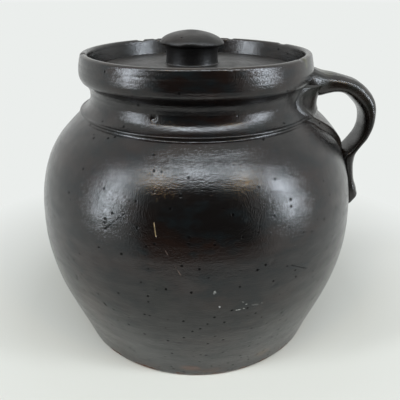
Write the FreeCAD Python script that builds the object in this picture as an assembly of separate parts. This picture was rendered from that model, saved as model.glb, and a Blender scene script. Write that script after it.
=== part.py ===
import FreeCAD, Part
import math
import os

from FreeCAD import Vector

# A wheel-thrown stoneware bean pot with a dark glaze, a drop-in lid and one pulled strap handle.
# Lengths are millimetres. Z is up, the origin is the middle of the flat base, and the handle is at +X.
# The pot stands on its base. The lid lies loose on a ledge inside the collar and lifts straight out.

# Pot: overall sizes
POT_HEIGHT = 180.5
BELLY_RADIUS = 100.0
BELLY_HEIGHT = 78.0
FOOT_RADIUS = 80.5
FOOT_LEAN = 18.0
FOOT_CHAMFER = 1.5
WALL = 7.0
FLOOR_THICKNESS = 9.0
FLOOR_CORNER_RADIUS = 9.0

# Pot: shoulder, neck and collar
SHOULDER_SLOPE = 52.0
RIDGE_OVERHANG = 7.1
RIDGE_HEIGHT = 2.6
NECK_WALL = 8.6
NECK_DROP = 23.5
NECK_COVE_RADIUS = 10.0
COLLAR_OVERHANG = 4.5
COLLAR_BULGE = 1.2
SEAT_RADIUS = 61.2
SEAT_DEPTH = 16.5
LEDGE_WIDTH = 5.7
COLLAR_FLARE = 2.8
LIP_WIDTH = 4.2
LIP_ROUND = 1.6

# Lid and knob
LID_CLEARANCE = 1.2
LID_THICKNESS = 7.0
LID_EDGE_CHAMFER = 1.2
LID_CROWN = 1.4
KNOB_OFF_CENTRE = 2.5
KNOB_FOOT_RADIUS = 17.4
KNOB_WAIST_RADIUS = 15.6
KNOB_CAP_RADIUS = 19.3
KNOB_STEM_HEIGHT = 10.6
KNOB_CAP_LIP = 3.4
KNOB_CAP_DOME = 7.0

# Handle and the clay pad behind it
STRAP_WIDTH = 21.0
STRAP_THICKNESS = 6.2
STRAP_ROOT_THICKNESS = 9.5
STRAP_EDGE_ROUND = 2.0
STRAP_ROOT_BITE = 3.0
STRAP_ROOT_DROP = 17.5
STRAP_REACH = 7.0
STRAP_BEND_DROP = 38.5
STRAP_LANDING_HEIGHT = 111.0
STRAP_END_HEIGHT = 80.0
STRAP_END_THICKNESS = 5.0
STRAP_SEAT_BITE = 1.6
# The strap's edges are rounded in these steps, in degrees from its side to its face
STRAP_ROUND_STEPS = (90, 45, 0)
# Where the strap's middle bends: twice on its way out, then on its way back, as shares of each way
STRAP_BEND_SHARES = ((0.50, 0.09), (0.83, 0.36), (0.26, 0.52))
PAD_ROOT_WIDTH = 34.0
PAD_RIDGE_WIDTH = 74.0
PAD_FOOT_WIDTH = 26.0
PAD_THICKNESS = 2.2
PAD_NECK_FILL = 3.4
# Where the pad's face bends with the shoulder, as shares of the way up from the strap's landing
PAD_BEND_SHARES = (0.85, 0.65, 0.4, 0.2)

# How far each wall curve runs on in the direction of its end before it bends, as a share of its height
LOWER_WALL_FULLNESS = 0.37
SHOULDER_FULLNESS = 0.64
SHOULDER_TOP_FULLNESS = 0.26

# Radii and heights that follow from the sizes above
THROAT_RADIUS = SEAT_RADIUS - LEDGE_WIDTH
MOUTH_RADIUS = SEAT_RADIUS + COLLAR_FLARE
LIP_RADIUS = MOUTH_RADIUS + LIP_WIDTH
NECK_RADIUS = THROAT_RADIUS + NECK_WALL
RIDGE_RADIUS = NECK_RADIUS + RIDGE_OVERHANG
COLLAR_FOOT_RADIUS = NECK_RADIUS + COLLAR_OVERHANG
LEDGE_HEIGHT = POT_HEIGHT - SEAT_DEPTH
NECK_HEIGHT = POT_HEIGHT - NECK_DROP
LID_RADIUS = SEAT_RADIUS - LID_CLEARANCE
LID_EDGE_HEIGHT = LEDGE_HEIGHT + LID_THICKNESS
KNOB_SEAT_HEIGHT = LID_EDGE_HEIGHT + LID_CROWN
STRAP_ROOT_HEIGHT = POT_HEIGHT - STRAP_ROOT_DROP
STRAP_BEND_HEIGHT = POT_HEIGHT - STRAP_BEND_DROP


def at(radius, height):
    """A point of an outline in the XZ plane."""
    return Vector(radius, 0, height)


def polar(centre, radius, degrees):
    """A point on a circle in the XZ plane, measured up from +X."""
    angle = math.radians(degrees)
    return centre + Vector(radius * math.cos(angle), 0, radius * math.sin(angle))


def line(start, end):
    return Part.LineSegment(start, end).toShape()


def arc(start, middle, end):
    return Part.Arc(start, middle, end).toShape()


def arc_about(centre, radius, start_degrees, end_degrees):
    middle = (start_degrees + end_degrees) / 2
    return arc(
        polar(centre, radius, start_degrees),
        polar(centre, radius, middle),
        polar(centre, radius, end_degrees),
    )


def spin(edges):
    """Turn a closed outline into a solid of revolution round the pot's axis."""
    face = Part.Face(Part.Wire(edges))
    solid = face.revolve(Vector(0, 0, 0), Vector(0, 0, 1), 360)
    # The seam of the turned faces lies at -X, away from the handle.
    solid.rotate(Vector(0, 0, 0), Vector(0, 0, 1), 180)
    return solid


def bezier(poles):
    bend = Part.BezierCurve()
    bend.setPoles(poles)
    return bend


def parameter_at(bend, height):
    """Where a rising wall curve reaches a height."""
    low = 0.0
    high = 1.0
    for _ in range(40):
        middle = (low + high) / 2
        if bend.value(middle).z < height:
            low = middle
        else:
            high = middle
    return low


class PotShape:
    """The wall curves shared by the outside of the pot, the inside of its wall and the handle."""

    def __init__(self):
        cove_depth = NECK_RADIUS + NECK_COVE_RADIUS - RIDGE_RADIUS
        self.ridge_top = NECK_HEIGHT - math.sqrt(NECK_COVE_RADIUS**2 - cove_depth**2)
        self.shoulder_top = at(RIDGE_RADIUS, self.ridge_top - RIDGE_HEIGHT)
        lean = math.radians(FOOT_LEAN)
        self.foot_rise = Vector(math.sin(lean), 0, math.cos(lean))
        self.foot_normal = Vector(self.foot_rise.z, 0, -self.foot_rise.x)
        slope = math.radians(SHOULDER_SLOPE)
        self.shoulder_fall = Vector(math.sin(slope), 0, -math.cos(slope))
        self.shoulder_normal = Vector(-self.shoulder_fall.z, 0, self.shoulder_fall.x)

    def lower_wall(self, depth):
        """The curve from the foot up to the belly, this deep inside the outer face."""
        foot = at(FOOT_RADIUS, FOOT_CHAMFER) - self.foot_normal * depth
        belly = at(BELLY_RADIUS - depth, BELLY_HEIGHT)
        reach = LOWER_WALL_FULLNESS * (BELLY_HEIGHT - FOOT_CHAMFER)
        return bezier([foot, foot + self.foot_rise * reach, belly - Vector(0, 0, reach), belly])

    def upper_wall(self, depth):
        """The curve from the belly over the shoulder to its top, this deep inside the outer face."""
        belly = at(BELLY_RADIUS - depth, BELLY_HEIGHT)
        top = self.shoulder_top - self.shoulder_normal * depth
        height = top.z - BELLY_HEIGHT
        rise = Vector(0, 0, SHOULDER_FULLNESS * height)
        fall = self.shoulder_fall * SHOULDER_TOP_FULLNESS * height
        return bezier([belly, belly + rise, top + fall, top])

    def radius_at(self, height):
        """The outside radius of the pot at a height between its foot and the top of the shoulder."""
        wall = self.lower_wall(0) if height < BELLY_HEIGHT else self.upper_wall(0)
        return wall.value(parameter_at(wall, height)).x


def outer_edges(shape):
    """The outside of the pot, from the middle of the base up to the outside of the lip."""
    axis_foot = at(0, 0)
    base_edge = at(FOOT_RADIUS - FOOT_CHAMFER, 0)
    foot = at(FOOT_RADIUS, FOOT_CHAMFER)
    ridge = at(RIDGE_RADIUS, shape.ridge_top)
    cove_centre = at(NECK_RADIUS + NECK_COVE_RADIUS, NECK_HEIGHT)
    cove_rise = math.sqrt(NECK_COVE_RADIUS**2 - (cove_centre.x - COLLAR_FOOT_RADIUS) ** 2)
    collar_foot = at(COLLAR_FOOT_RADIUS, NECK_HEIGHT + cove_rise)
    lip_side = at(LIP_RADIUS, POT_HEIGHT - LIP_ROUND)
    collar_middle = (collar_foot + lip_side) * 0.5 + Vector(COLLAR_BULGE, 0, 0)
    return [
        line(axis_foot, base_edge),
        line(base_edge, foot),
        shape.lower_wall(0).toShape(),
        shape.upper_wall(0).toShape(),
        line(shape.shoulder_top, ridge),
        arc(ridge, at(NECK_RADIUS, NECK_HEIGHT), collar_foot),
        arc(collar_foot, collar_middle, lip_side),
    ]


def inner_edges(shape):
    """The lip, the lid's seat, the throat and the cavity, down to the middle of the floor."""
    lip_side = at(LIP_RADIUS, POT_HEIGHT - LIP_ROUND)
    lip_top = at(MOUTH_RADIUS + LIP_WIDTH / 2, POT_HEIGHT)
    mouth = at(MOUTH_RADIUS, POT_HEIGHT - LIP_ROUND)
    seat = at(SEAT_RADIUS, LEDGE_HEIGHT)
    ledge = at(THROAT_RADIUS, LEDGE_HEIGHT)
    upper = shape.upper_wall(WALL)
    shoulder_inside = upper.value(1)
    throat_foot = at(THROAT_RADIUS, shoulder_inside.z)
    # The cavity's lower wall is trimmed where the rounded corner of the floor begins.
    lower = shape.lower_wall(WALL)
    corner_start = parameter_at(lower, FLOOR_THICKNESS + FLOOR_CORNER_RADIUS)
    corner_top = lower.value(corner_start)
    wall_rise = lower.tangent(corner_start)[0]
    corner_point = corner_top - wall_rise * (FLOOR_CORNER_RADIUS / wall_rise.z)
    corner_foot = corner_point - Vector(FLOOR_CORNER_RADIUS, 0, 0)
    corner = bezier([corner_top, corner_point, corner_foot])
    lower.segment(corner_start, 1)
    return [
        arc(lip_side, lip_top, mouth),
        line(mouth, seat),
        line(seat, ledge),
        line(ledge, throat_foot),
        line(throat_foot, shoulder_inside),
        upper.toShape(),
        lower.toShape(),
        corner.toShape(),
        line(corner_foot, at(0, FLOOR_THICKNESS)),
        line(at(0, FLOOR_THICKNESS), at(0, 0)),
    ]


def make_pot_body(shape):
    """The thrown pot: base, wall, shoulder ridge, neck, collar and lid ledge in one piece of clay."""
    return spin(outer_edges(shape) + inner_edges(shape))


def make_pot_block(shape):
    """The pot's outside filled in, which trims what is pressed onto it."""
    outside = outer_edges(shape)
    lip_side = at(LIP_RADIUS, POT_HEIGHT - LIP_ROUND)
    axis_top = at(0, POT_HEIGHT - LIP_ROUND)
    return spin(outside + [line(lip_side, axis_top), line(axis_top, at(0, 0))])


def strap_line(shape):
    """Points along the middle of the strap in the XZ plane, with the thickness at each."""
    start = LIP_RADIUS - STRAP_ROOT_BITE
    out = BELLY_RADIUS + STRAP_REACH
    run = out - start
    drop = STRAP_ROOT_HEIGHT - STRAP_BEND_HEIGHT
    gap = STRAP_BEND_HEIGHT - STRAP_LANDING_HEIGHT
    rise, crest, back = STRAP_BEND_SHARES
    landing = shape.radius_at(STRAP_LANDING_HEIGHT)
    tail_height = (STRAP_LANDING_HEIGHT + STRAP_END_HEIGHT) / 2
    tail = shape.radius_at(tail_height)
    end = shape.radius_at(STRAP_END_HEIGHT)
    middle_thickness = (STRAP_ROOT_THICKNESS + STRAP_THICKNESS) / 2
    # Where it lies on the belly the strap is pressed in a little, so its middle lies closer in.
    seated = STRAP_THICKNESS + STRAP_SEAT_BITE
    seat = STRAP_THICKNESS / 2 - STRAP_SEAT_BITE / 2
    end_seat = STRAP_END_THICKNESS / 2 - STRAP_SEAT_BITE
    return [
        (at(start, STRAP_ROOT_HEIGHT), STRAP_ROOT_THICKNESS),
        (at(start + rise[0] * run, STRAP_ROOT_HEIGHT - rise[1] * drop), middle_thickness),
        (at(start + crest[0] * run, STRAP_ROOT_HEIGHT - crest[1] * drop), STRAP_THICKNESS),
        (at(out, STRAP_BEND_HEIGHT), STRAP_THICKNESS),
        (at(out - back[0] * (out - landing), STRAP_BEND_HEIGHT - back[1] * gap), STRAP_THICKNESS),
        (at(landing + seat, STRAP_LANDING_HEIGHT), seated),
        (at(tail + seat, tail_height), seated),
        (at(end + end_seat, STRAP_END_HEIGHT), STRAP_END_THICKNESS),
    ]


def strap_sides(points):
    """The outer and inner edge curves of the strap, half a thickness each side of its middle."""
    outer = []
    inner = []
    last = len(points) - 1
    for index, (point, thickness) in enumerate(points):
        before = points[max(index - 1, 0)][0]
        after = points[min(index + 1, last)][0]
        along = (after - before).normalize()
        normal = Vector(-along.z, 0, along.x)
        outer.append(point + normal * thickness / 2)
        inner.append(point - normal * thickness / 2)
    return outer, inner


def curve(points):
    spline = Part.BSplineCurve()
    spline.interpolate(points)
    return spline.toShape()


def strap_outline(points, slimmer, side):
    """The strap's closed outline in a plane this far to the side, this much slimmer on each face."""
    outer, inner = strap_sides([(point, thickness - 2 * slimmer) for point, thickness in points])
    wire = Part.Wire([
        curve(outer),
        line(outer[-1], inner[-1]),
        curve(inner[::-1]),
        line(inner[0], outer[0]),
    ])
    wire.translate(Vector(0, side, 0))
    return wire


def make_strap_handle(shape, pot_block):
    """The pulled strap: out from the collar, round a finger loop and down the belly to its end."""
    points = strap_line(shape)
    flat = STRAP_WIDTH / 2 - STRAP_EDGE_ROUND
    outlines = []
    for hand, steps in ((-1, STRAP_ROUND_STEPS), (1, STRAP_ROUND_STEPS[::-1])):
        for degrees in steps:
            angle = math.radians(degrees)
            side = flat + STRAP_EDGE_ROUND * math.sin(angle)
            slimmer = STRAP_EDGE_ROUND * (1 - math.cos(angle))
            outlines.append(strap_outline(points, slimmer, hand * side))
    strap = Part.makeLoft(outlines, True, True)
    return strap.cut(pot_block)


def backing_outline(shape):
    """The clay pad's section in the XZ plane, from under the collar down to the strap's landing."""
    inside = NECK_RADIUS - NECK_WALL / 2
    front = RIDGE_RADIUS + PAD_NECK_FILL
    upper_wall = shape.upper_wall(0)
    start = parameter_at(upper_wall, STRAP_LANDING_HEIGHT)
    outline = [
        at(inside, STRAP_ROOT_HEIGHT),
        at(front + PAD_THICKNESS, STRAP_ROOT_HEIGHT),
        at(front, NECK_HEIGHT - PAD_THICKNESS),
    ]
    for share in PAD_BEND_SHARES:
        wall_point = upper_wall.value(start + (1 - start) * share)
        outline.append(wall_point + shape.shoulder_normal * PAD_THICKNESS)
    landing = upper_wall.value(start)
    outline.append(at(landing.x + STRAP_THICKNESS / 2, STRAP_LANDING_HEIGHT))
    outline.append(at(landing.x - WALL / 2, STRAP_LANDING_HEIGHT))
    outline.append(at(inside, shape.shoulder_top.z - WALL))
    return outline


def make_handle_backing(shape, pot_block, strap):
    """The clay pressed behind the strap: it fills the neck and narrows down the shoulder."""
    outline = backing_outline(shape)
    face = Part.Face(Part.makePolygon(outline + outline[:1]))
    half_turn = math.degrees(math.asin(PAD_RIDGE_WIDTH / 2 / RIDGE_RADIUS))
    face.rotate(Vector(0, 0, 0), Vector(0, 0, 1), -half_turn)
    ring = face.revolve(Vector(0, 0, 0), Vector(0, 0, 1), 2 * half_turn)
    root = PAD_ROOT_WIDTH / 2
    ridge = PAD_RIDGE_WIDTH / 2
    foot = PAD_FOOT_WIDTH / 2
    wedge_corners = [
        Vector(0, -foot, STRAP_LANDING_HEIGHT),
        Vector(0, foot, STRAP_LANDING_HEIGHT),
        Vector(0, ridge, shape.ridge_top),
        Vector(0, root, STRAP_ROOT_HEIGHT),
        Vector(0, -root, STRAP_ROOT_HEIGHT),
        Vector(0, -ridge, shape.ridge_top),
    ]
    wedge_face = Part.Face(Part.makePolygon(wedge_corners + wedge_corners[:1]))
    wedge = wedge_face.extrude(Vector(BELLY_RADIUS + STRAP_REACH, 0, 0))
    return ring.common(wedge).cut(pot_block).cut(strap)


def make_lid_plate():
    """The lid's disc: flat below, chamfered at its edge and a little crowned towards the knob."""
    flat = at(KNOB_FOOT_RADIUS + KNOB_OFF_CENTRE + LID_EDGE_CHAMFER, KNOB_SEAT_HEIGHT)
    corners = [
        at(0, LEDGE_HEIGHT),
        at(LID_RADIUS - LID_EDGE_CHAMFER, LEDGE_HEIGHT),
        at(LID_RADIUS, LEDGE_HEIGHT + LID_EDGE_CHAMFER),
        at(LID_RADIUS, LID_EDGE_HEIGHT - LID_EDGE_CHAMFER),
        at(LID_RADIUS - LID_EDGE_CHAMFER, LID_EDGE_HEIGHT),
        flat,
        at(0, KNOB_SEAT_HEIGHT),
    ]
    return spin(Part.makePolygon(corners + corners[:1]).Edges)


def make_lid_knob():
    """The knob: a spool-shaped stem under a mushroom cap, seated a little off the lid's centre."""
    stem_top = KNOB_SEAT_HEIGHT + KNOB_STEM_HEIGHT
    waist_height = KNOB_SEAT_HEIGHT + KNOB_STEM_HEIGHT / 2
    foot = at(KNOB_FOOT_RADIUS, KNOB_SEAT_HEIGHT)
    neck = at(KNOB_FOOT_RADIUS, stem_top)
    cap_side = at(KNOB_CAP_RADIUS, stem_top + KNOB_CAP_LIP / 2)
    # The dome is part of a sphere whose centre is on the knob's own axis.
    dome_radius = (KNOB_CAP_RADIUS**2 + KNOB_CAP_DOME**2) / (2 * KNOB_CAP_DOME)
    dome_centre = at(0, cap_side.z + KNOB_CAP_DOME - dome_radius)
    side_angle = math.degrees(math.asin((dome_radius - KNOB_CAP_DOME) / dome_radius))
    edges = [
        line(at(0, KNOB_SEAT_HEIGHT), foot),
        arc(foot, at(KNOB_WAIST_RADIUS, waist_height), neck),
        line(neck, cap_side),
        arc_about(dome_centre, dome_radius, side_angle, 90),
        line(at(0, dome_centre.z + dome_radius), at(0, KNOB_SEAT_HEIGHT)),
    ]
    knob = spin(edges)
    knob.translate(Vector(-KNOB_OFF_CENTRE, 0, 0))
    return knob


def save(name, solid):
    if solid.ShapeType == "Compound" and len(solid.Solids) == 1:
        solid = solid.Solids[0]
    solid.exportStep(os.path.join("parts", name + ".step"))
    box = solid.optimalBoundingBox(True, False)
    print(name, len(solid.Solids), "solid", solid.isValid(), round(solid.Volume / 1000, 1), "cm3",
          "z", round(box.ZMin, 2), round(box.ZMax, 2), "x", round(box.XMin, 2), round(box.XMax, 2))


os.makedirs("parts", exist_ok=True)
pot_shape = PotShape()
block = make_pot_block(pot_shape)
strap_handle = make_strap_handle(pot_shape, block)
save("pot_body", make_pot_body(pot_shape))
save("strap_handle", strap_handle)
save("handle_backing", make_handle_backing(pot_shape, block, strap_handle))
save("lid_plate", make_lid_plate())
save("lid_knob", make_lid_knob())
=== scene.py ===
import math

import bpy
import numpy as np
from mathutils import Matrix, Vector


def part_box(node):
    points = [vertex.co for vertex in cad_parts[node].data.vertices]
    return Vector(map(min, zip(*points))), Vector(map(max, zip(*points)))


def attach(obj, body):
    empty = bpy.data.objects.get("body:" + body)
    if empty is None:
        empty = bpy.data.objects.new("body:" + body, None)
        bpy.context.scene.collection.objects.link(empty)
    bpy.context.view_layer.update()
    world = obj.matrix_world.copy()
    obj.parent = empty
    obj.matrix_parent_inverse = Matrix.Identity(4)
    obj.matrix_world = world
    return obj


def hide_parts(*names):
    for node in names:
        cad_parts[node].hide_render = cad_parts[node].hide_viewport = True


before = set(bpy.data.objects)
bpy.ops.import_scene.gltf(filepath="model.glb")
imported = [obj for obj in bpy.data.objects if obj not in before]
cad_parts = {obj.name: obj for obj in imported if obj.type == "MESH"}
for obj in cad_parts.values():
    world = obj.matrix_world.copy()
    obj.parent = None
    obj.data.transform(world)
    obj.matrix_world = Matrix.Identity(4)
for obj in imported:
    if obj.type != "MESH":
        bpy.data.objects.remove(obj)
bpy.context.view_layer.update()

# The pot: one piece of stoneware clay, thrown on a wheel, with its belly, ridged shoulder, coved neck,
# wide collar and inner ledge all pulled from it. It was dipped in a dark slip glaze, wiped at the foot
# and fired, so the throwing lines show through the gloss and the foot edge is worn to the clay.
MM = 0.001
FULL_TURN = 2 * math.pi
AROUND = 576

_, pot_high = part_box("pot_body")
plate_low, plate_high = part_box("lid_plate")
belly_radius = pot_high.x / MM
lip_height = pot_high.z / MM
ledge_height = plate_low.z / MM

foot_radius = 80.5
foot_chamfer = 1.5
foot_lean = math.radians(18.0)
belly_height = 78.0
wall = 7.0
floor_thickness = 9.0
lower_fullness = 0.37
shoulder_fullness = 0.64
shoulder_top_fullness = 0.26
shoulder_slope = math.radians(52.0)
shoulder_top = (71.2, 144.8)
neck_radius = 64.1
neck_height = 157.0
cove_radius = 10.0
collar_foot = (68.6, 165.4)
lip_outside = 68.2
lip_inside = 64.0
seat_radius = 61.2
throat_radius = 55.5


def bezier(poles, count):
    """Points of a cubic curve through four poles, as radius and height in millimetres."""
    t = np.linspace(0, 1, count)[:, None]
    a, b, c, d = (np.array(pole, float) for pole in poles)
    return (1 - t) ** 3 * a + 3 * t * (1 - t) ** 2 * b + 3 * t * t * (1 - t) * c + t**3 * d


def arc(centre, radius, start, end, count):
    """Points of an arc from start to end degrees."""
    angle = np.radians(np.linspace(start, end, count))
    return np.array([centre[0] + radius * np.cos(angle), centre[1] + radius * np.sin(angle)]).T


def straight(start, end, count):
    return np.linspace(start, end, count)


def lower_wall(depth, count):
    rise = np.array([math.sin(foot_lean), math.cos(foot_lean)])
    inward = np.array([-rise[1], rise[0]])
    foot = np.array([foot_radius, foot_chamfer]) + inward * depth
    belly = np.array([belly_radius - depth, belly_height])
    reach = lower_fullness * (belly_height - foot_chamfer)
    return bezier([foot, foot + rise * reach, belly - [0, reach], belly], count)


def upper_wall(depth, count):
    fall = np.array([math.sin(shoulder_slope), -math.cos(shoulder_slope)])
    inward = np.array([fall[1], -fall[0]])
    belly = np.array([belly_radius - depth, belly_height])
    top = np.array(shoulder_top) + inward * depth
    height = top[1] - belly_height
    rise = np.array([0, shoulder_fullness * height])
    return bezier([belly, belly + rise, top + fall * shoulder_top_fullness * height, top], count)


def pot_outline():
    """Radius and height all the way from the middle of the base to the middle of the inner floor."""
    ridge = [(70.7, 145.0), (70.2, 145.6), (70.5, 146.2), (71.3, 146.8), (71.4, 147.3), (70.9, 147.9)]
    cove = arc((neck_radius + cove_radius, neck_height), cove_radius, 247, 126, 30)
    collar_side = bezier([collar_foot, (70.6, 168.2), (69.6, 173.5), (lip_outside, lip_height - 2.2)], 34)
    corner = [(68.0, 164.7), (68.4, 164.9)]
    lip = bezier([
        (lip_outside, lip_height - 2.2),
        (lip_outside - 0.3, lip_height + 0.2),
        (lip_inside + 0.4, lip_height + 0.2),
        (lip_inside, lip_height - 1.8),
    ], 14)
    inside_low = lower_wall(wall, 40)
    floor_corner = inside_low[inside_low[:, 1] > floor_thickness + 7][0]
    inside_low = inside_low[inside_low[:, 1] > floor_thickness + 7.01][::-1]
    floor_bend = bezier([
        floor_corner,
        (floor_corner[0] - 2.4, floor_thickness + 1.5),
        (floor_corner[0] - 4.0, floor_thickness),
        (floor_corner[0] - 9.0, floor_thickness),
    ], 8)
    throat_top = (throat_radius, ledge_height)
    inside_high = upper_wall(wall, 26)[::-1]
    pieces = [
        straight((3.0, 0.0), (foot_radius - 2.6, 0.0), 14),
        straight((foot_radius - 1.6, 0.15), (foot_radius - 0.5, 0.9), 3),
        lower_wall(0, 96),
        upper_wall(0, 104)[1:],
        np.array(ridge),
        cove,
        np.array(corner),
        collar_side,
        lip[1:],
        straight((lip_inside - 0.1, lip_height - 3.0), (seat_radius + 0.2, ledge_height + 0.4), 16),
        straight((seat_radius - 0.4, ledge_height), throat_top, 4),
        straight((throat_radius - 0.4, ledge_height - 0.8), (throat_radius, inside_high[0][1]), 6),
        inside_high,
        inside_low,
        floor_bend[1:],
        straight((floor_corner[0] - 14, floor_thickness), (3.0, floor_thickness), 8),
    ]
    return np.vstack(pieces)


def wander(theta, height, seed, around=6, tall=40.0, waves=7):
    """A smooth uneven field round the pot, between about -1 and 1, seamless at the full turn."""
    draw = np.random.default_rng(seed)
    total = np.zeros(np.broadcast(theta, height).shape)
    for _ in range(waves):
        turns = draw.integers(0, around + 1)
        rise = draw.uniform(-1, 1) * FULL_TURN / tall
        total += np.cos(turns * theta + rise * height + draw.uniform(0, FULL_TURN))
    return total / math.sqrt(waves) / 1.6


def between(value, start, end):
    """0 before start, 1 after end, smooth in the middle."""
    t = np.clip((value - start) / (end - start), 0, 1)
    return t * t * (3 - 2 * t)


def outline_normals(outline):
    along = np.gradient(outline, axis=0)
    along /= np.linalg.norm(along, axis=1)[:, None]
    return np.array([along[:, 1], -along[:, 0]]).T


def dent(theta, radius, height, places):
    """The depth of small hollows at (degrees, height, radius, depth) places, in millimetres."""
    total = np.zeros(np.broadcast(theta, height).shape)
    for degrees, place, size, depth in places:
        swing = (theta - math.radians(degrees) + math.pi) % FULL_TURN - math.pi
        distance = np.hypot(swing * radius, height - place)
        total += depth * (1 - between(distance, size * 0.35, size))
    return total


def turned_mesh(name, points, closed_base, closed_top):
    """A mesh of rings. points is (rings, around, 3) in millimetres, with a fan at each closed end."""
    rings, around, _ = points.shape
    vertices = points.reshape(-1, 3) * MM
    first = np.arange(rings - 1)[:, None] * around
    step = np.arange(around)[None, :]
    after = (step + 1) % around
    quads = np.stack([first + step, first + after, first + around + after, first + around + step], -1)
    faces = quads.reshape(-1, 4).tolist()
    vertices = vertices.tolist()
    for is_closed, ring, flip in ((closed_base, 0, True), (closed_top, rings - 1, False)):
        if not is_closed:
            continue
        middle = len(vertices)
        vertices.append((points[ring].mean(axis=0) * MM).tolist())
        for j in range(around):
            a = ring * around + j
            b = ring * around + (j + 1) % around
            faces.append((middle, b, a) if flip else (middle, a, b))
    mesh = bpy.data.meshes.new(name)
    mesh.from_pydata(vertices, [], faces)
    mesh.validate()
    mesh.shade_smooth()
    piece = bpy.data.objects.new(name, mesh)
    bpy.context.scene.collection.objects.link(piece)
    return piece


# Burst bubbles and knocks in the glaze, as (degrees round, height, radius, depth) in millimetres.
POT_PITS = [
    (-109.3, 154.8, 1.7, 1.1),
    (-67.5, 89.4, 1.1, 0.5),
    (-66.3, 75.2, 0.9, 0.4),
    (-131.8, 68.8, 1.0, 0.4),
    (-96.0, 38.0, 1.0, 0.35),
    (40.0, 96.0, 1.2, 0.5),
    (118.0, 60.0, 1.1, 0.5),
    (165.0, 110.0, 1.3, 0.5),
    (75.0, 133.0, 1.0, 0.4),
]
# Chips on the lip, as (degrees round, half width, depth) in millimetres.
LIP_CHIPS = [
    (126, 3.6, 1.1),
    (116, 2.0, 0.6),
    (-166, 4.2, 0.9),
    (30, 5.0, 0.7),
    (68, 2.6, 0.5),
    (-34, 3.0, 0.6),
    (-76, 1.6, 0.35),
]


def thrown_pot():
    outline = pot_outline()
    normals = outline_normals(outline)
    theta = np.linspace(0, FULL_TURN, AROUND, endpoint=False)[None, :]
    radius = outline[:, 0][:, None]
    height = outline[:, 1][:, None]
    order = np.arange(len(outline))[:, None]
    lip_row = int(np.argmax(outline[:, 1]))
    outside = (order <= lip_row).astype(float)
    above_foot = between(height, 3, 14) * outside
    on_belly = above_foot * (1 - between(height, 138, 143))
    on_collar = outside * between(height, 166, 168) * (1 - between(height, 177.5, 179.5))
    on_neck = outside * between(height, 147.5, 149) * (1 - between(height, 163, 165))
    near_ridge = outside * between(height, 143.2, 146.8) * (1 - between(height, 147.2, 149.2))
    # The potter's fingers leave a rising spiral, about a finger's width from turn to turn.
    ring_pitch = 9.0
    spiral = height / ring_pitch + theta / FULL_TURN + 0.35 * wander(theta, height, 3, 2, 60)
    swell = np.cos(FULL_TURN * spiral) * (0.5 + 0.5 * wander(theta, height, 4, 3, 50))
    offset = -on_belly * (0.05 - 0.035 * swell)
    offset -= on_belly * 0.35 * (0.5 + 0.5 * wander(theta, height, 5, 3, 120))
    offset -= on_belly * 0.07 * wander(theta, height, 6, 6, 26)
    # Fine lines drawn round the collar by the rib, and two deeper ones.
    offset += on_collar * 0.05 * wander(theta, height, 7, 2, 1.9, 9)
    offset -= on_collar * 0.13 * np.exp(-(((height - 175.4 - 0.25 * wander(theta, 0, 8, 3)) / 0.45) ** 2))
    offset -= on_collar * 0.07 * np.exp(-(((height - 172.2 - 0.3 * wander(theta, 0, 9, 3)) / 0.4) ** 2))
    offset += on_neck * 0.16 * np.exp(-(((height - 157.4 - 0.3 * wander(theta, 0, 10, 2)) / 0.6) ** 2))
    offset += on_neck * 0.07 * wander(theta, height, 11, 2, 2.4, 9)
    offset -= near_ridge * (0.25 + 0.25 * wander(theta, 0, 12, 9))
    offset -= outside * dent(theta, radius, height, POT_PITS)
    new_radius = radius + normals[:, 0][:, None] * offset
    new_height = height + normals[:, 1][:, None] * offset * np.ones_like(theta)
    # The lip is uneven, and chipped in a few places.
    lip = between(height, lip_height - 4, lip_height)
    new_height = new_height - lip * (0.25 + 0.22 * wander(theta, 0, 14, 5))
    for degrees, half_width, depth in LIP_CHIPS:
        swing = (theta - math.radians(degrees) + math.pi) % FULL_TURN - math.pi
        share = 1 - between(np.abs(swing) * lip_outside, half_width * 0.4, half_width)
        ragged = 0.8 + 0.5 * wander(theta, height, int(degrees) + 400, 60, 3)
        new_height = new_height - between(height, lip_height - 2.6, lip_height) * share * depth * ragged
    new_height = np.maximum(new_height, 0)
    points = np.stack([
        new_radius * np.cos(theta),
        new_radius * np.sin(theta),
        new_height,
    ], axis=-1)
    return turned_mesh("pot", points, True, True)


def linear(code):
    """An sRGB hex colour as the linear values that a shader takes."""
    channels = [int(code[i:i + 2], 16) / 255 for i in (1, 3, 5)]
    return [c / 12.92 if c <= 0.04045 else ((c + 0.055) / 1.055) ** 2.4 for c in channels] + [1.0]


def add_node(tree, kind, inputs=None, **settings):
    """A shader node with its settings; each input is a value or the socket that feeds it."""
    node = tree.nodes.new("ShaderNode" + kind)
    for name, value in settings.items():
        setattr(node, name, value)
    for name, value in (inputs or {}).items():
        socket = node.inputs[name]
        if isinstance(value, bpy.types.NodeSocket):
            tree.links.new(value, socket)
        else:
            socket.default_value = value
    return node


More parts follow.
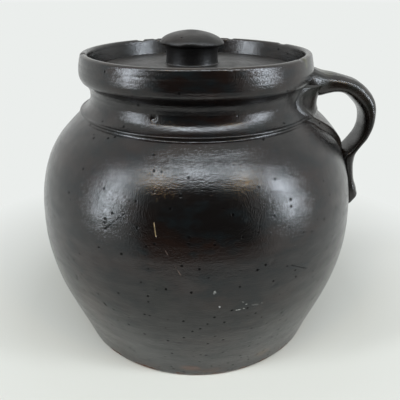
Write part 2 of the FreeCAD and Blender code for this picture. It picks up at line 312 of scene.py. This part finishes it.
def slip_glaze(name, dark, rust, cool, gloss, worn=None, marks=(), strokes=()):
    """Iron-rich slip glaze on stoneware: nearly black, glassy over a fine pebbled skin, breaking
    to rust and olive where it lies thin, with pinholes where bubbles burst in the kiln. With a
    worn colour, the lip breaks to that colour and the foot is wiped to the clay."""
    # Sizes from one feature to the next, in millimetres.
    patch_size = 42
    mottle_size = 13
    streak_size = 1 / 0.55
    pebble_size = 0.62
    grit_size = 3.4
    pinhole_spacing = 4.2
    # How far each relief stands up, in metres.
    pebble_relief = 0.00017
    mottle_relief = 0.0004
    streak_relief = 0.0001
    pinhole_relief = 0.00012

    material = bpy.data.materials.new(name)
    material.use_nodes = True
    tree = material.node_tree
    tree.nodes.clear()
    place = add_node(tree, "TexCoord").outputs["Object"]
    in_mm = add_node(tree, "VectorMath", {0: place, 1: (1000, 1000, 1000)}, operation="MULTIPLY")
    place_mm = in_mm.outputs[0]
    height = add_node(tree, "SeparateXYZ", {0: place_mm}).outputs[2]

    # Patches of colour, stretched round the pot by the wheel.
    stretched = add_node(tree, "Mapping", {"Vector": place_mm, "Scale": (1, 1, 1.8)}).outputs[0]
    cloud = add_node(tree, "TexNoise", {
        "Vector": stretched, "Scale": 1 / patch_size, "Detail": 3,
    }).outputs[0]
    mottle = add_node(tree, "TexNoise", {
        "Vector": stretched, "Scale": 1 / mottle_size, "Detail": 4, "Roughness": 0.6,
    }).outputs[0]
    rust_share = add_node(tree, "MapRange", {
        "Value": cloud, "From Min": 0.46, "From Max": 0.64,
    }).outputs[0]
    cool_share = add_node(tree, "MapRange", {
        "Value": mottle, "From Min": 0.48, "From Max": 0.68,
    }).outputs[0]
    base = add_node(tree, "Mix", {
        0: rust_share, 6: linear(dark), 7: linear(rust),
    }, data_type="RGBA").outputs[2]
    colour = add_node(tree, "Mix", {
        0: cool_share, 6: base, 7: linear(cool),
    }, data_type="RGBA").outputs[2]

    # Throwing lines: fine horizontal streaks, long round the pot.
    lines = add_node(tree, "Mapping", {"Vector": place_mm, "Scale": (0.05, 0.05, 1)}).outputs[0]
    streaks = add_node(tree, "TexNoise", {
        "Vector": lines, "Scale": 1 / streak_size, "Detail": 3, "Roughness": 0.6,
    }).outputs[0]

    # The pebbled skin of the glaze, about 1 mm from bump to bump, that breaks up the highlights.
    # The real one is finer, and is drawn as coarse as it needs to show.
    pebble = add_node(tree, "TexNoise", {
        "Vector": place_mm, "Scale": 1 / pebble_size, "Detail": 1, "Roughness": 0.5,
    }).outputs[0]
    grit = add_node(tree, "TexNoise", {
        "Vector": place_mm, "Scale": 1 / grit_size, "Detail": 2,
    }).outputs[0]

    # Pinholes: one cell in a few holds a hole about 1 mm across, and more of them low down.
    cells = add_node(tree, "TexVoronoi", {
        "Vector": place_mm, "Scale": 1 / pinhole_spacing, "Randomness": 1.0,
    })
    chance = add_node(tree, "SeparateColor", {0: cells.outputs["Color"]}).outputs[0]
    low_down = add_node(tree, "MapRange", {
        "Value": height, "From Min": 150, "From Max": 20, "To Min": 0.1, "To Max": 0.65,
    }).outputs[0]
    chosen = add_node(tree, "Math", {0: chance, 1: low_down}, operation="LESS_THAN").outputs[0]
    near = add_node(tree, "MapRange", {
        "Value": cells.outputs["Distance"], "From Min": 0.21, "From Max": 0.13,
    }).outputs[0]
    hole = add_node(tree, "Math", {0: chosen, 1: near}, operation="MULTIPLY").outputs[0]
    # Painted shade: each pinhole is coloured near black for the shade inside its cavity.
    colour = add_node(tree, "Mix", {
        0: hole, 6: colour, 7: linear("#050404"),
    }, data_type="RGBA").outputs[2]

    # A glassy glaze has a roughness of 0.1 to 0.3; the drier lid has a little more.
    roughness = add_node(tree, "MapRange", {
        "Value": mottle, "From Min": 0.35, "From Max": 0.7, "To Min": gloss, "To Max": gloss + 0.1,
    }).outputs[0]
    if worn:
        # Wiped and rubbed at the foot: bare toasted clay shows in a ragged line.
        ragged = add_node(tree, "TexNoise", {
            "Vector": stretched, "Scale": 1 / 9, "Detail": 5, "Roughness": 0.65,
        }).outputs[0]
        edge = add_node(tree, "Math", {0: ragged, 1: 14.0}, operation="MULTIPLY").outputs[0]
        over = add_node(tree, "Math", {0: edge, 1: height}, operation="SUBTRACT").outputs[0]
        bare = add_node(tree, "MapRange", {
            "Value": over, "From Min": 4.2, "From Max": 6.0,
        }).outputs[0]
        clay = add_node(tree, "Mix", {
            0: mottle, 6: linear("#2a1a10"), 7: linear("#6b4124"),
        }, data_type="RGBA").outputs[2]
        colour = add_node(tree, "Mix", {0: bare, 6: colour, 7: clay}, data_type="RGBA").outputs[2]
        roughness = add_node(tree, "Mix", {0: bare, 2: roughness, 3: 0.75}).outputs[0]
        # The lip's top edge breaks to brown where the glaze ran thin.
        crest = add_node(tree, "MapRange", {
            "Value": height, "From Min": lip_height - 1.8, "From Max": lip_height - 0.4,
        }).outputs[0]
        patchy = add_node(tree, "MapRange", {
            "Value": mottle, "From Min": 0.42, "From Max": 0.62,
        }).outputs[0]
        thin = add_node(tree, "Math", {0: crest, 1: patchy}, operation="MULTIPLY").outputs[0]
        colour = add_node(tree, "Mix", {
            0: thin, 6: colour, 7: linear(worn),
        }, data_type="RGBA").outputs[2]

    for spot, size, shade, strength in marks:
        # A stain, a scuff or a patch of painted shade at its own place on the pot, with a broken edge.
        offset = add_node(tree, "VectorMath", {0: place_mm, 1: spot}, operation="SUBTRACT").outputs[0]
        scaled = add_node(tree, "VectorMath", {
            0: offset, 1: tuple(1 / s for s in size),
        }, operation="MULTIPLY").outputs[0]
        distance = add_node(tree, "VectorMath", {0: scaled}, operation="LENGTH").outputs["Value"]
        broken = add_node(tree, "Math", {0: grit, 1: distance}, operation="SUBTRACT").outputs[0]
        share = add_node(tree, "MapRange", {
            "Value": broken, "From Min": -0.35, "From Max": 0.05, "To Max": strength,
        }).outputs[0]
        colour = add_node(tree, "Mix", {
            0: share, 6: colour, 7: linear(shade),
        }, data_type="RGBA").outputs[2]

    for start, end, half_width, shade, strength in strokes:
        # A scratch, a run of slip or a stuck speck: a thin broken line between two places.
        run = Vector(end) - Vector(start)
        from_start = add_node(tree, "VectorMath", {
            0: place_mm, 1: start,
        }, operation="SUBTRACT").outputs[0]
        along = add_node(tree, "VectorMath", {
            0: from_start, 1: run / run.length_squared,
        }, operation="DOT_PRODUCT").outputs["Value"]
        held = add_node(tree, "Clamp", {0: along}).outputs[0]
        nearest = add_node(tree, "VectorMath", {
            0: tuple(run), "Scale": held,
        }, operation="SCALE").outputs[0]
        stray = add_node(tree, "VectorMath", {
            0: from_start, 1: nearest,
        }, operation="DISTANCE").outputs["Value"]
        frayed = add_node(tree, "Math", {
            0: pebble, 1: half_width * 1.6, 2: stray,
        }, operation="MULTIPLY_ADD").outputs[0]
        line = add_node(tree, "MapRange", {
            "Value": frayed,
            "From Min": half_width * 2.1,
            "From Max": half_width * 1.3,
            "To Max": strength,
        }).outputs[0]
        gaps = add_node(tree, "MapRange", {
            "Value": grit, "From Min": 0.36, "From Max": 0.46,
        }).outputs[0]
        share = add_node(tree, "Math", {0: line, 1: gaps}, operation="MULTIPLY").outputs[0]
        colour = add_node(tree, "Mix", {
            0: share, 6: colour, 7: linear(shade),
        }, data_type="RGBA").outputs[2]
        hole = add_node(tree, "Math", {0: share, 1: hole}, operation="MAXIMUM").outputs[0]

    skin = add_node(tree, "Bump", {
        "Height": pebble, "Strength": 0.7, "Distance": pebble_relief,
    }).outputs[0]
    uneven = add_node(tree, "Bump", {
        "Height": mottle, "Strength": 0.5, "Distance": mottle_relief, "Normal": skin,
    }).outputs[0]
    drawn = add_node(tree, "Bump", {
        "Height": streaks, "Strength": 0.5, "Distance": streak_relief, "Normal": uneven,
    }).outputs[0]
    sunk = add_node(tree, "Bump", {
        "Height": hole, "Strength": 0.6, "Distance": pinhole_relief, "Normal": drawn,
    }, invert=True).outputs[0]
    # Painted shade: a burst bubble loses its gloss as if its cavity shaded its reflections, and a scratch
    # or speck loses gloss as open, rough glaze.
    pit_shade_and_scratch_dulling = add_node(tree, "MapRange", {"Value": hole, "To Min": 0.5, "To Max": 0.06}).outputs[0]
    dull = add_node(tree, "MapRange", {
        "Value": mottle,
        "From Min": 0.36,
        "From Max": 0.64,
        "To Min": 1.28 - gloss,
        "To Max": 0.98 - gloss,
    }).outputs[0]
    shine = add_node(tree, "Math", {0: pit_shade_and_scratch_dulling, 1: dull}, operation="MULTIPLY").outputs[0]
    shader = add_node(tree, "BsdfPrincipled", {
        "Base Color": colour,
        "Specular IOR Level": shine,
        "Roughness": roughness,
        # Glass, which a fired glaze is.
        "IOR": 1.52,
        "Normal": sunk,
    })
    add_node(tree, "OutputMaterial", {0: shader.outputs[0]})
    return material


wall_skin = np.vstack([lower_wall(0, 80), upper_wall(0, 80)])


def on_pot(degrees, height):
    """A place on the pot's skin, from its angle round and its height."""
    radius = lip_outside
    if height < shoulder_top[1]:
        radius = float(np.interp(height, wall_skin[:, 1], wall_skin[:, 0])) - 0.25
    angle = math.radians(degrees)
    return (radius * math.cos(angle), radius * math.sin(angle), height)


# Stains, and one band of painted shade, as (place, half size each way, colour, strength).
POT_MARKS = [
    (on_pot(-101, 72), (9, 9, 18), "#12130f", 0.6),
    (on_pot(-92.5, 9), (8, 8, 4), "#4c2a16", 0.8),
    (on_pot(-84, 6), (10, 10, 3.5), "#3a2212", 0.8),
    (on_pot(-62, 13), (8, 8, 4), "#4a3216", 0.6),
    (on_pot(-110, 6), (12, 12, 3.5), "#241812", 0.8),
    (on_pot(-31, 178.5), (3.5, 3.0, 5), "#3e3c22", 0.8),
    (on_pot(-129, 50), (16, 16, 18), "#2a201a", 0.5),
    # Painted shade: a near-black band round the neck, under the collar.
    ((0, 0, 161.5), (150, 150, 8), "#040303", 0.85),
]
# Scratches, runs and stuck specks, as (start, end, half width, colour, strength).
POT_STROKES = [
    (on_pot(-119.0, 103.8), on_pot(-111.9, 114.5), 0.55, "#060505", 1.0),
    (on_pot(-102.4, 112.4), on_pot(-101.7, 106.2), 0.24, "#94805e", 0.8),
    (on_pot(-98.9, 99.4), on_pot(-94.6, 86.8), 0.2, "#7a6a60", 0.5),
    (on_pot(-84.9, 76.6), on_pot(-84.9, 75.7), 0.7, "#8c8c88", 0.7),
    (on_pot(-83.3, 66.9), on_pot(-83.3, 66.6), 0.5, "#b8b8b4", 0.8),
    (on_pot(-76.3, 68.3), on_pot(-76.1, 68.1), 0.38, "#a0a09a", 0.7),
    (on_pot(-75.2, 66.0), on_pot(-74.9, 66.1), 0.3, "#9a9a94", 0.6),
    (on_pot(-78.2, 63.0), on_pot(-76.9, 63.1), 0.28, "#a8a8a2", 0.65),
    (on_pot(-75.9, 63.4), on_pot(-75.6, 63.3), 0.34, "#9a9a94", 0.6),
    (on_pot(-73.0, 64.8), on_pot(-70.6, 64.0), 0.5, "#646460", 0.5),
    (on_pot(-70.9, 65.6), on_pot(-69.9, 64.6), 0.4, "#70706a", 0.45),
    (on_pot(-126.0, 62.0), on_pot(-112.0, 55.0), 0.4, "#241c18", 0.8),
    (on_pot(-60.5, 84.0), on_pot(-54.0, 78.0), 0.4, "#0a0808", 0.9),
    (on_pot(72.0, 92.0), on_pot(80.0, 84.0), 0.5, "#0a0808", 0.9),
    (on_pot(150.0, 66.0), on_pot(158.0, 70.0), 0.4, "#6e5a44", 0.6),
]
pot_glaze = slip_glaze(
    "pot_slip_glaze",
    dark="#0d0b0a",
    rust="#170e0a",
    cool="#0e1213",
    gloss=0.13,
    worn="#2e241a",
    marks=POT_MARKS,
    strokes=POT_STROKES,
)
pot = thrown_pot()
pot.data.materials.append(pot_glaze)
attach(pot, "pot")
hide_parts("pot_body")


# The handle: one strap pulled by hand from a lump of the same clay, pressed on the collar at its root
# and on the belly at its tail, with a thumb mark at the end. Pulling leaves grooves along its length.
STRAP_ALONG = 260
STRAP_SECTION = 80
# The strap's outer and inner faces as (x, z), and its width, from inside the collar down to its tail.
STRAP_STATIONS = [
    ((60.0, 171.2), (60.0, 156.5), 32.0),
    ((68.6, 170.6), (69.0, 154.6), 30.0),
    ((73.6, 169.0), (74.6, 153.6), 27.0),
    ((79.0, 167.4), (79.4, 154.6), 24.4),
    ((85.0, 166.2), (84.4, 155.6), 23.2),
    ((91.4, 164.8), (89.2, 155.2), 22.6),
    ((98.2, 162.3), (93.9, 152.8), 22.4),
    ((103.9, 158.4), (97.9, 149.4), 22.4),
    ((108.5, 153.1), (101.3, 145.8), 22.4),
    ((111.2, 146.8), (103.4, 142.4), 22.4),
    ((111.9, 139.9), (104.5, 138.4), 22.2),
    ((111.2, 133.0), (104.7, 133.6), 22.0),
    ((109.1, 127.0), (103.4, 128.6), 22.0),
    ((106.2, 122.7), (100.8, 124.2), 22.0),
    ((103.9, 118.6), (97.4, 119.8), 22.0),
    ((102.6, 114.6), (93.4, 115.6), 22.0),
    ((102.2, 110.2), (94.4, 110.4), 22.0),
    ((102.7, 105.0), (95.8, 105.0), 22.4),
    ((103.8, 100.2), (96.9, 100.2), 22.8),
    ((105.2, 95.8), (97.5, 95.8), 23.2),
    ((106.6, 91.8), (98.0, 91.8), 23.4),
    ((108.0, 88.2), (98.2, 88.4), 23.2),
    ((106.8, 85.4), (98.4, 85.8), 22.4),
    ((104.8, 82.6), (98.4, 83.2), 21.0),
    ((102.0, 80.4), (98.4, 81.0), 18.6),
    ((99.6, 79.0), (98.4, 79.4), 15.0),
]


def smooth_path(values, count):
    """A smooth curve through every station, evenly spaced by station."""
    values = np.array(values, float)
    padded = np.vstack([2 * values[0] - values[1], values, 2 * values[-1] - values[-2]])
    where = np.linspace(0, len(values) - 1 - 1e-9, count)
    index = where.astype(int)
    t = (where - index)[:, None]
    a, b, c, d = (padded[index + k] for k in range(4))
    bend = 2 * a - 5 * b + 4 * c - d
    twist = 3 * b - a - 3 * c + d
    return 0.5 * (2 * b + (c - a) * t + bend * t**2 + twist * t**3)


def pulled_strap():
    rows = [(*outer, *inner, width) for outer, inner, width in STRAP_STATIONS]
    path = smooth_path(rows, STRAP_ALONG)
    middle = (path[:, 0:2] + path[:, 2:4]) / 2
    through_line = path[:, 0:2] - path[:, 2:4]
    thickness = np.linalg.norm(through_line, axis=1)
    outward = through_line / thickness[:, None]
    share = np.linspace(0, 1, STRAP_ALONG)[:, None]
    angle = np.linspace(0, FULL_TURN, STRAP_SECTION, endpoint=False)[None, :]
    # A flattened oval, squarer at its edges, flatter inside than outside.
    across = np.sign(np.cos(angle)) * np.abs(np.cos(angle)) ** 0.68
    roundness = np.where(np.sin(angle) > 0, 0.95, 0.62)
    through = np.sign(np.sin(angle)) * np.abs(np.sin(angle)) ** roundness
    half_width = path[:, 4][:, None] / 2
    half_thick = thickness[:, None] / 2
    y = across * half_width * (1 + 0.02 * np.cos(share * 31))
    rise = through * half_thick
    # Grooves left by the wet hand along the outside, with a shallow valley down the middle.
    on_outside = np.clip(through, 0, 1)
    grooves = 0.1 * np.cos(y * 1.7 + 0.7 * np.cos(share * 17))
    grooves = grooves + 0.06 * np.cos(y * 4.3 + 2 * np.cos(share * 9))
    valley = 0.2 * np.exp(-((y / (half_width * 0.38)) ** 2))
    lumps = 0.14 * np.cos(share * 43 + y * 0.3) + 0.1 * np.cos(share * 71 + 1.3)
    seated = 1 - between(share, 0.86, 0.97)
    rise = rise + on_outside * (grooves - valley + lumps) * seated
    # The thumb pressed the tail on, and left a hollow in the middle of its lip.
    thumb = np.exp(-(((share - 0.9) / 0.05) ** 2)) * np.exp(-((y / 5.5) ** 2))
    rise = rise - on_outside * 1.0 * thumb
    x = middle[:, 0][:, None] + outward[:, 0][:, None] * rise
    z = middle[:, 1][:, None] + outward[:, 1][:, None] * rise
    points = np.stack([x, y * np.ones_like(x), z], axis=-1)
    return turned_mesh("handle_strap", points, True, True)


# An olive break on the strap's root, where the glaze ran thin.
HANDLE_MARKS = [((79, 2, 168), (12, 16, 7), "#34331c", 0.6)]
handle_glaze = slip_glaze(
    "handle_slip_glaze",
    dark="#100d0b",
    rust="#1a130d",
    cool="#12150f",
    gloss=0.17,
    marks=HANDLE_MARKS,
)
strap = pulled_strap()
strap.data.materials.append(handle_glaze)
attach(strap, "pot")
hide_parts("strap_handle")


# The backing: a wad of clay pressed into the neck behind the strap and wiped down over the ridge on to
# the shoulder. It is widest over the ridge, thins out there to a torn edge, and narrows to the strap.
BACKING_ALONG = 120
BACKING_ACROSS = 200
BACKING_SPREAD = math.radians(44)
# The wad's face in its middle plane, as radius and height, from the strap's underside to the ridge.
BACKING_NECK = [(77.6, 161.5), (75.6, 158.0), (74.3, 154.5), (73.9, 151.0), (74.3, 148.3), (75.6, 145.6)]
# Half the wad's width at heights from the strap's landing up to its root, in millimetres.
BACKING_EDGE_HEIGHTS = [111, 118, 124, 129, 134, 139, 146, 150, 156, 163]
BACKING_EDGE_HALVES = [6, 9, 13, 18, 24, 30, 36, 37.5, 35, 27]


def along_line(line, count):
    """Evenly spaced points along a broken line."""
    line = np.array(line, float)
    steps = np.concatenate([[0], np.cumsum(np.linalg.norm(np.diff(line, axis=0), axis=1))])
    where = np.linspace(0, steps[-1], count)
    return np.array([np.interp(where, steps, line[:, k]) for k in (0, 1)]).T


def backing_wad():
    """A closed skin: its face stands proud of the pot and its back lies inside the pot's wall."""
    shoulder = upper_wall(0, 160)
    shoulder = shoulder[shoulder[:, 1] > 111.5]
    cove = arc((neck_radius + cove_radius, neck_height), cove_radius, 245, 150, 30)
    low_rows = int(BACKING_ALONG * 0.62)
    skin = np.vstack([
        along_line(shoulder, low_rows),
        along_line(np.vstack([[(71.3, 147.0)], cove]), BACKING_ALONG - low_rows),
    ])
    shoulder_out = outline_normals(shoulder)
    low_face = along_line(shoulder + shoulder_out * 2.3, low_rows)
    neck_face = smooth_path(BACKING_NECK[::-1], 60)
    face = np.vstack([low_face, along_line(neck_face, BACKING_ALONG - low_rows)])
    # The join of the two runs is evened out.
    for _ in range(12):
        face[1:-1] = (face[:-2] + 2 * face[1:-1] + face[2:]) / 4
    theta = np.linspace(-BACKING_SPREAD, BACKING_SPREAD, BACKING_ACROSS)[None, :]
    height = skin[:, 1][:, None]
    sideways = np.abs(np.sin(theta)) * skin[:, 0][:, None]
    half = np.interp(skin[:, 1], BACKING_EDGE_HEIGHTS, BACKING_EDGE_HALVES)[:, None]
    ragged = half + 1.6 * wander(theta, height, 21, 9, 16)
    inside = 1 - between(sideways, ragged - 8.0, ragged)
    # Towards its sides the wad lies lower, so only its middle bridges the neck.
    crown = 1 - 0.88 * between(sideways, 7, 27) * between(height, 137, 156)
    blend = (inside * crown)[:, :, None]
    skin_3d = skin[:, None, :] * np.ones_like(blend)
    face_3d = face[:, None, :] * np.ones_like(blend)
    out = outline_normals(skin)[:, None, :]
    lumps = (0.2 * wander(theta, height, 22, 16, 15) * inside)[:, :, None]
    surface = skin_3d + (face_3d - skin_3d) * blend + out * lumps
    sunk = (1 - inside)[:, :, None]
    surface = surface - out * 1.3 * sunk
    back = skin_3d - out * 2.6
    sheets = []
    for sheet in (surface, back[:, ::-1]):
        turn = theta if sheet is surface else theta[:, ::-1]
        reach = sheet[:, :, 0]
        sheets.append(np.stack([reach * np.cos(turn), reach * np.sin(turn), sheet[:, :, 1]], -1))
    loop = np.concatenate(sheets, axis=1)
    return turned_mesh("handle_backing_clay", loop[::-1], True, True)


backing = backing_wad()
backing.data.materials.append(handle_glaze)
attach(backing, "pot")
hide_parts("handle_backing")


# The lid: a flat disc thrown on the wheel, that drops inside the collar and lies loose on its ledge.
# Its glaze is thinner than the pot's, so it is browner and its turning rings show.
lid_radius = plate_high.x / MM
lid_edge = 171.0
lid_crown = plate_high.z / MM


def turned_lid():
    top = straight((lid_radius - 1.4, lid_edge), (22.0, lid_crown), 90)
    outline = np.vstack([
        straight((3.0, ledge_height), (lid_radius - 1.4, ledge_height), 24),
        arc((lid_radius - 1.4, ledge_height + 1.4), 1.4, -75, 0, 5),
        arc((lid_radius - 1.4, lid_edge - 1.4), 1.4, 0, 75, 5),
        top,
        straight((21.0, lid_crown), (3.0, lid_crown), 8),
    ])
    theta = np.linspace(0, FULL_TURN, 360, endpoint=False)[None, :]
    radius = outline[:, 0][:, None]
    height = outline[:, 1][:, None]
    on_top = between(height, lid_edge - 0.2, lid_edge)
    ringed = -0.07 + 0.07 * np.cos(FULL_TURN * (radius / 4.6 + theta / FULL_TURN))
    fine = 0.05 * wander(theta, radius, 31, 2, 1.8, 9) - 0.05
    sag = -0.45 * between(radius, 34, 50) * (1 - between(radius, 54, 58))
    new_height = height + on_top * (ringed + fine + sag) * between(radius, 20, 24)
    points = np.stack([radius * np.cos(theta), radius * np.sin(theta), new_height], -1)
    return turned_mesh("lid_disc", points, True, True)


lid_glaze = slip_glaze(
    "lid_slip_glaze",
    dark="#0d0b09",
    rust="#160f0b",
    cool="#11100e",
    gloss=0.36,
)
lid = turned_lid()
lid.data.materials.append(lid_glaze)
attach(lid, "lid")
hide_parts("lid_plate")


# The knob: a spool-shaped stem under a mushroom cap, thrown by itself and luted on the lid a little
# off its centre and not quite upright. The cap's lower edge is a thin uneven roll.
knob_low, knob_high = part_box("lid_knob")
knob_centre = (knob_low.x + knob_high.x) / 2 / MM
cap_radius = (knob_high.x - knob_low.x) / 2 / MM
knob_top = knob_high.z / MM


def turned_knob():
    stem = smooth_path([
        (16.5, lid_crown),
        (16.0, lid_crown + 0.5),
        (15.8, lid_crown + 1.5),
        (15.7, lid_crown + 4.2),
        (15.9, lid_crown + 7.0),
        (16.5, lid_crown + 9.6),
        (17.2, lid_crown + 10.5),
    ], 34)
    outline = np.vstack([
        straight((2.0, lid_crown), (15.5, lid_crown), 6),
        stem,
        bezier([(17.6, 183.0), (18.4, 183.1), (19.1, 183.3), (cap_radius - 0.05, 184.4)], 9),
        bezier([
            (cap_radius - 0.1, 184.9),
            (18.4, 187.4),
            (12.5, knob_top - 0.9),
            (2.0, knob_top - 0.25),
        ], 44),
    ])
    normals = outline_normals(outline)
    theta = np.linspace(0, FULL_TURN, 240, endpoint=False)[None, :]
    radius = outline[:, 0][:, None]
    height = outline[:, 1][:, None]
    on_cap = between(height, 182.4, 183.6)
    offset = 0.14 * wander(theta, height, 41, 5, 12) * on_cap - 0.18
    offset = offset + 0.2 * wander(theta, height, 42, 3, 14) * (1 - on_cap)
    offset = offset * between(radius, 2, 8)
    new_radius = radius + normals[:, 0][:, None] * offset
    new_height = height + normals[:, 1][:, None] * offset
    edge = between(radius, 16.5, 18.8) * on_cap
    new_height = new_height + edge * (0.3 * wander(theta, 0, 43, 9) + 0.12 * wander(theta, 0, 44, 28))
    lean = -0.022 * between(height, lid_crown + 4, lid_crown + 11)
    x = new_radius * np.cos(theta)
    new_height = new_height + lean * x - 0.3 * between(height, lid_crown + 4, lid_crown + 11)
    points = np.stack([knob_centre + x, new_radius * np.sin(theta), new_height], -1)
    return turned_mesh("knob", points, True, True)


# Painted shade: the stem is coloured near black for the shade under the cap.
STEM_PAINTED_SHADE = [((knob_centre, 0, lid_crown + 4.6), (38, 38, 10.5), "#030202", 1.0)]
knob_glaze = slip_glaze(
    "knob_slip_glaze",
    dark="#0d0b09",
    rust="#160f0b",
    cool="#11100e",
    gloss=0.36,
    marks=STEM_PAINTED_SHADE,
)
knob = turned_knob()
knob.data.materials.append(knob_glaze)
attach(knob, "lid")
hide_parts("lid_knob")


# The stage: a plain pale floor and backdrop. The light is a small photographer's tent: a soft panel
# at each side, one overhead, two bulbs, and a dark opening at the front that only reflections see.
def flat_card(name, corners):
    mesh = bpy.data.meshes.new(name)
    mesh.from_pydata(corners, [], [range(len(corners))])
    card = bpy.data.objects.new(name, mesh)
    bpy.context.scene.collection.objects.link(card)
    return card


floor_reach = 6.0
floor = flat_card("floor", [
    (floor_reach * math.cos(a), floor_reach * math.sin(a), 0)
    for a in np.linspace(0, FULL_TURN, 64, endpoint=False)
])
floor_paint = bpy.data.materials.new("floor_paint")
floor_paint.use_nodes = True
paint = floor_paint.node_tree
paint.nodes.clear()
matt = add_node(paint, "BsdfDiffuse", {"Color": linear("#d6d4ca")}).outputs[0]
even = add_node(paint, "Emission", {"Color": linear("#ebeeec"), "Strength": 1.0}).outputs[0]


def background_share(tree):
    """1 for the rays that see, mirror or pass on the plain backdrop, and 0 for the rays that light."""
    rays = add_node(tree, "LightPath").outputs
    straight_look = add_node(tree, "Math", {
        0: rays["Is Camera Ray"], 1: rays["Is Transmission Ray"],
    }, operation="MAXIMUM").outputs[0]
    return add_node(tree, "Math", {
        0: straight_look, 1: rays["Is Glossy Ray"],
    }, operation="MAXIMUM").outputs[0]


# Near the pot the floor is lit and keeps its shadow; further out it turns into the even backdrop.
floor_place = add_node(paint, "TexCoord").outputs["Object"]
away = add_node(paint, "VectorMath", {0: floor_place}, operation="LENGTH").outputs["Value"]
far = add_node(paint, "MapRange", {"Value": away, "From Min": 0.12, "From Max": 0.26}).outputs[0]
far_seen = add_node(paint, "Math", {0: far, 1: background_share(paint)}, operation="MULTIPLY").outputs[0]
floor_mix = add_node(paint, "MixShader", {0: far_seen, 1: matt, 2: even}).outputs[0]
add_node(paint, "OutputMaterial", {0: floor_mix})
floor.data.materials.append(floor_paint)

world = bpy.data.worlds.new("tent")
world.use_nodes = True
bpy.context.scene.world = world
sky = world.node_tree
sky.nodes.clear()
pale = add_node(sky, "Background", {"Color": linear("#eef0ef"), "Strength": 1.0}).outputs[0]
walls = add_node(sky, "Background", {"Color": linear("#f4f8ff"), "Strength": 0.24}).outputs[0]
mixed = add_node(sky, "MixShader", {0: background_share(sky), 1: walls, 2: pale}).outputs[0]
add_node(sky, "OutputWorld", {0: mixed})

LAMP_TARGET = Vector((0, 0, 0.11))
LAMP_DISTANCE = 2.4


def soft_panel(name, azimuth, elevation, width, height, watts, colour):
    """A soft light at an angle round from the camera's side, positive towards the handle."""
    data = bpy.data.lights.new(name, "AREA")
    data.shape = "RECTANGLE"
    data.size = width
    data.size_y = height
    data.energy = watts
    data.color = linear(colour)[:3]
    lamp = bpy.data.objects.new(name, data)
    a = math.radians(azimuth)
    e = math.radians(elevation)
    away = Vector((math.sin(a) * math.cos(e), -math.cos(a) * math.cos(e), math.sin(e)))
    lamp.location = LAMP_TARGET + away * LAMP_DISTANCE
    lamp.rotation_mode = "QUATERNION"
    lamp.rotation_quaternion = away.to_track_quat("Z", "Y")
    bpy.context.scene.collection.objects.link(lamp)


# Three cool panels, and two small warm bulbs.
soft_panel("panel_left", -65, 18, 0.3, 2.2, 45, "#eef6ff")
soft_panel("panel_right", 68, 17, 0.28, 2.1, 46, "#ecf5ff")
soft_panel("panel_top", 4, 62, 3.2, 0.2, 46, "#ecf6ff")
soft_panel("bulb_left", -36, 46, 0.3, 0.12, 2.8, "#ffd694")
soft_panel("bulb_right", 42, 43, 0.3, 0.12, 2.8, "#ffd694")

# The tent's dark opening and the dark cloth in front of it, which only the gloss sees.
opening_half = 0.75
opening_y = -0.85
opening_height = 1.05
opening = flat_card("tent_opening", [
    (-opening_half, opening_y, 0.0),
    (opening_half, opening_y, 0.0),
    (opening_half, opening_y, opening_height),
    (-opening_half, opening_y, opening_height),
])
above_floor = 0.002
front_cloth = flat_card("front_cloth", [
    (-opening_half, opening_y, above_floor),
    (opening_half, opening_y, above_floor),
    (0.27, -0.27, above_floor),
    (0.05, -0.315, above_floor),
    (-0.2, -0.28, above_floor),
])
dark_cloth = bpy.data.materials.new("dark_cloth")
dark_cloth.use_nodes = True
cloth_shader = dark_cloth.node_tree.nodes["Principled BSDF"]
cloth_shader.inputs["Base Color"].default_value = linear("#141110")
cloth_shader.inputs["Roughness"].default_value = 0.95
for cloth in (opening, front_cloth):
    cloth.visible_camera = False
    cloth.visible_diffuse = False
    cloth.visible_shadow = False
    cloth.visible_transmission = False
    cloth.data.materials.append(dark_cloth)

# The camera: its place, tilt and focal length are worked out from the photo's perspective.
camera_data = bpy.data.cameras.new("camera")
camera_data.sensor_width = 36.0
frame_pixels = 400
focal_pixels = 460
camera_data.lens = camera_data.sensor_width * focal_pixels / frame_pixels
camera_data.clip_start = 0.01
camera_distance = 0.28705
camera_height = 0.21657
camera_pitch = 25.38
camera_turn = 0.46
camera = bpy.data.objects.new("camera", camera_data)
camera.location = (0, -camera_distance, camera_height)
camera.rotation_euler = (math.radians(90 - camera_pitch), 0, math.radians(-camera_turn))
bpy.context.scene.collection.objects.link(camera)
bpy.context.scene.camera = camera
bpy.context.scene.view_settings.view_transform = "Standard"
